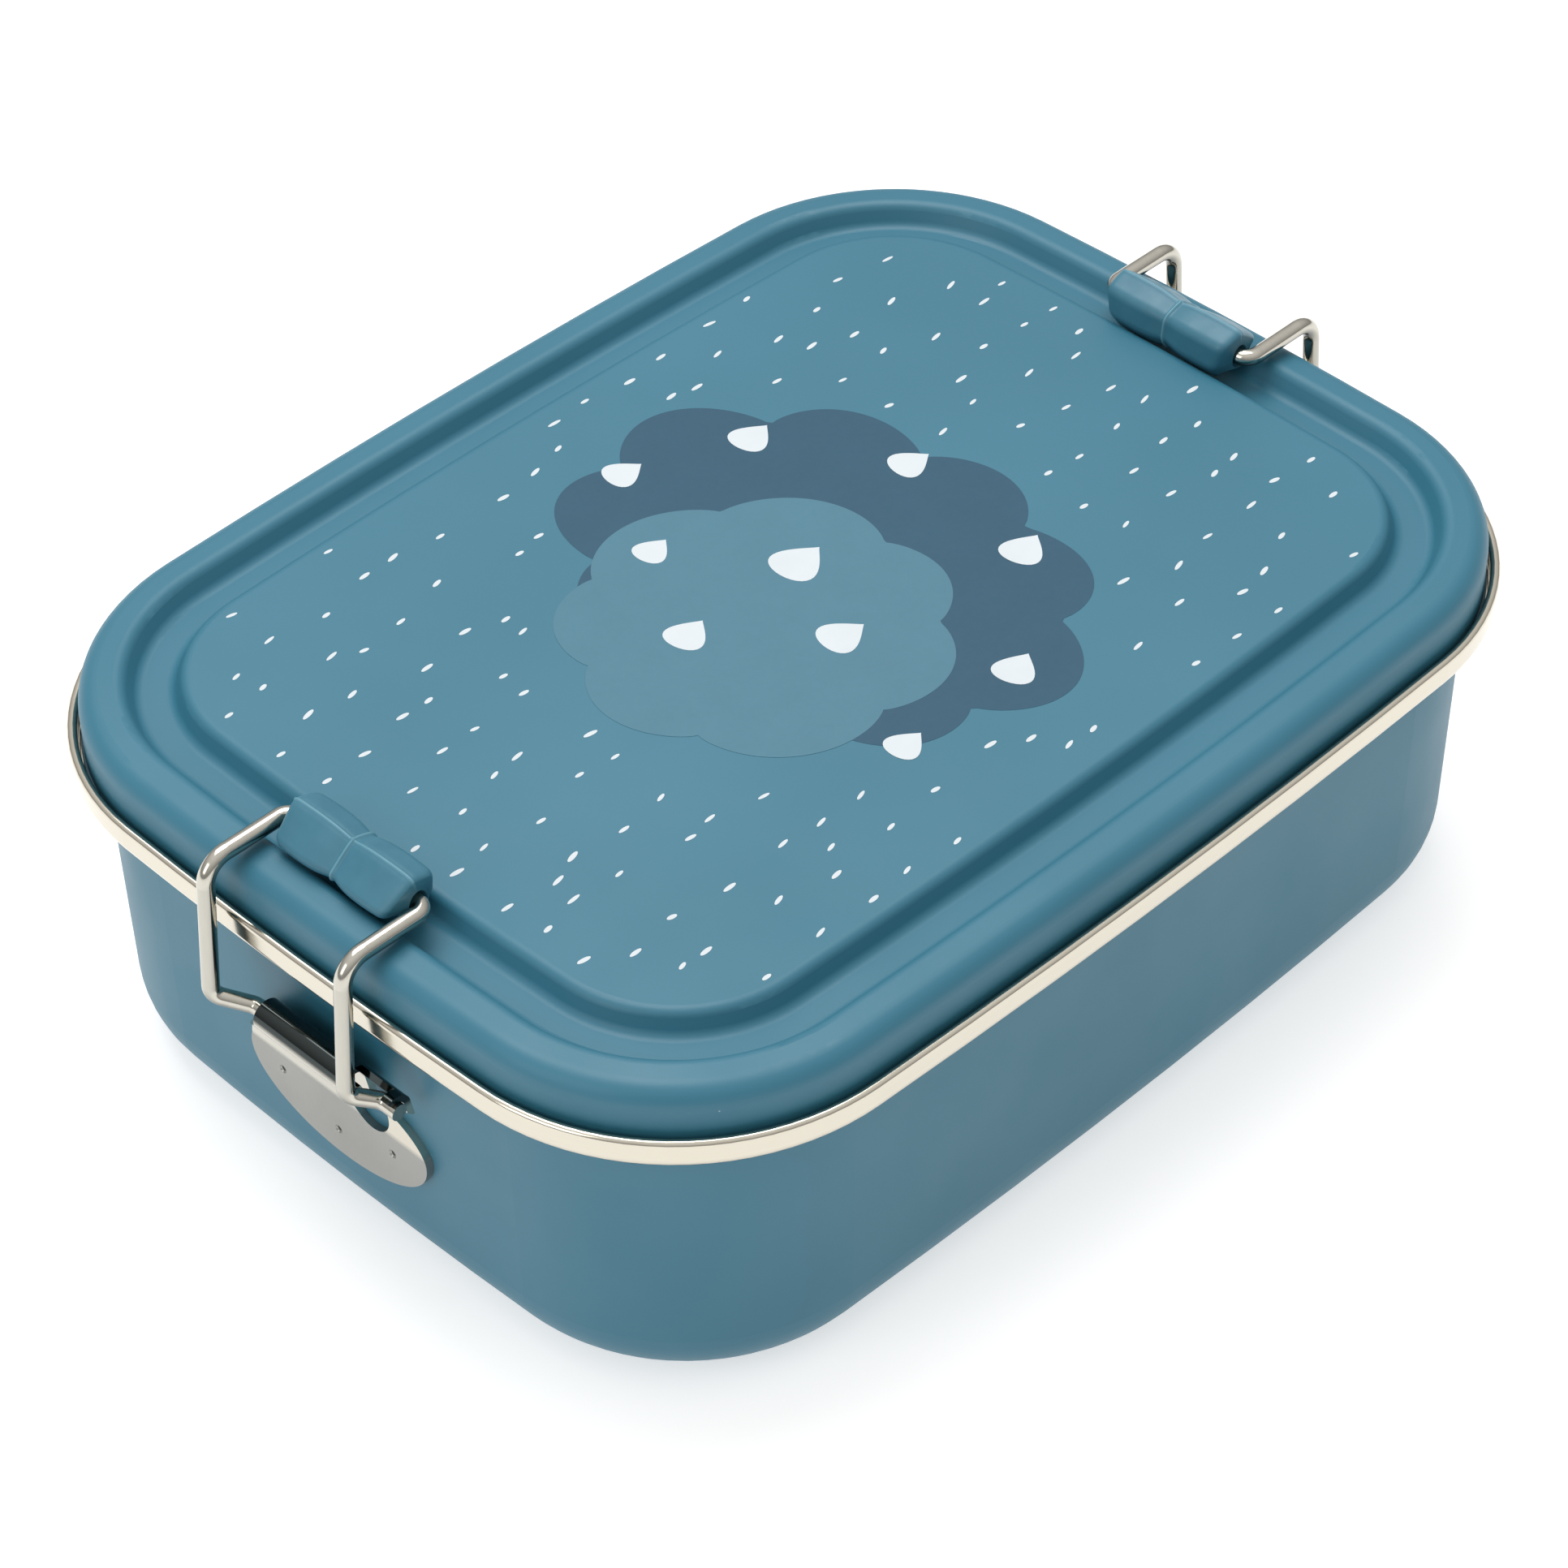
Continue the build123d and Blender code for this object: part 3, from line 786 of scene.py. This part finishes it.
camera_place = Vector((-0.33920, -0.34005, 0.45361))
camera_yaw = math.radians(45.30)
camera_pitch = math.radians(-41.94)
camera_roll = math.radians(-0.95)
camera_lens = 106.53
camera_sensor_width = 36.0
camera_near_end = 0.01
floor_half_size = 3.0
floor_glow = 0.55
sky_full_height = 0.9
sky_horizon = 0.30
sky_overhead = 0.95


def make_camera():
    data = bpy.data.cameras.new("camera")
    data.lens = camera_lens
    data.sensor_width = camera_sensor_width
    data.clip_start = camera_near_end
    camera = bpy.data.objects.new("camera", data)
    bpy.context.scene.collection.objects.link(camera)
    ahead = Vector((math.cos(camera_pitch) * math.cos(camera_yaw),
                    math.cos(camera_pitch) * math.sin(camera_yaw),
                    math.sin(camera_pitch)))
    right = ahead.cross(Vector((0, 0, 1))).normalized()
    up = right.cross(ahead)
    rolled_right = right * math.cos(camera_roll) + up * math.sin(camera_roll)
    rolled_up = up * math.cos(camera_roll) - right * math.sin(camera_roll)
    turn = Matrix((rolled_right, rolled_up, -ahead)).transposed()
    camera.matrix_world = Matrix.Translation(camera_place) @ turn.to_4x4()
    bpy.context.scene.camera = camera


def make_floor():
    """A pale table, with a faint light of its own."""
    shader = Shader("pale_floor")
    shader.set("Base Color", floor_grey)
    shader.set("Roughness", 0.9)
    shader.set("Emission Color", (1.0, 1.0, 1.0))
    shader.set("Emission Strength", floor_glow)
    corners = [(-1, -1), (1, -1), (1, 1), (-1, 1)]
    points = [(x * floor_half_size, y * floor_half_size, 0) for x, y in corners]
    mesh_object("floor", points, [[0, 1, 2, 3]], shader.material)


def area_light(name, place, size, energy):
    """A square light that points at the origin."""
    data = bpy.data.lights.new(name, "AREA")
    data.shape = "SQUARE"
    data.size = size
    data.energy = energy
    light = bpy.data.objects.new(name, data)
    light.location = place
    light.rotation_euler = (-Vector(place)).to_track_quat("-Z", "Y").to_euler()
    bpy.context.scene.collection.objects.link(light)


def make_sky():
    """A studio that is bright overhead and dim at the horizon."""
    world = bpy.data.worlds.new("studio")
    world.use_nodes = True
    sky = Nodes(world.node_tree)
    height = sky.split(sky.add("ShaderNodeTexCoord").outputs["Generated"])["Z"]
    values = {"Value": height, "From Min": 0.0, "From Max": sky_full_height,
              "To Min": sky_horizon, "To Max": sky_overhead}
    strength = sky.add("ShaderNodeMapRange", values)
    background = sky.tree.nodes["Background"]
    sky.put(background.inputs["Color"], sky_white)
    sky.put(background.inputs["Strength"], strength.outputs["Result"])
    bpy.context.scene.world = world


def make_lights():
    make_sky()
    area_light("overhead", place=(0.15, 0.35, 1.20), size=0.9, energy=11.0)
    area_light("front_left", place=(-1.2, 0.1, 0.7), size=0.7, energy=3.0)


# ---------------------------------------------------------------- the whole box

def dress_cad_nodes():
    bracket = bracket_finish()
    wire = wire_finish()
    seal = silicone_finish("silicone_seal", seal_blue, seal_blue_light, seal_roughness)
    finishes = {
        "tub": tub_finish(),
        "lid": lid_finish(),
        "lid_seal": seal,
        "divider_trim": seal,
        "divider_plate": divider_finish(),
        "left_latch_bracket": bracket,
        "right_latch_bracket": bracket,
        "left_wire_bail": wire,
        "right_wire_bail": wire,
    }
    for name, material in finishes.items():
        for slot in nodes[name].material_slots:
            slot.material = material


def make_print():
    night = ink_finish("night_blue_ink", night_ink)
    haze = ink_finish("haze_blue_ink", haze_ink)
    pale = ink_finish("pale_ink", pale_ink)
    motif = make_motif(night, haze, pale)
    dashes = make_dashes(motif, pale)
    for piece in motif + [dashes]:
        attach(piece, "lid_body")


dress_cad_nodes()
make_print()
silicone = silicone_finish("silicone_grip", silicone_blue, silicone_blue_light, grip_roughness)
for grip_name, bail_body in grip_names.items():
    make_grip(grip_name, bail_body, silicone)
make_floor()
make_lights()
make_camera()
bpy.context.scene.view_settings.view_transform = "Standard"
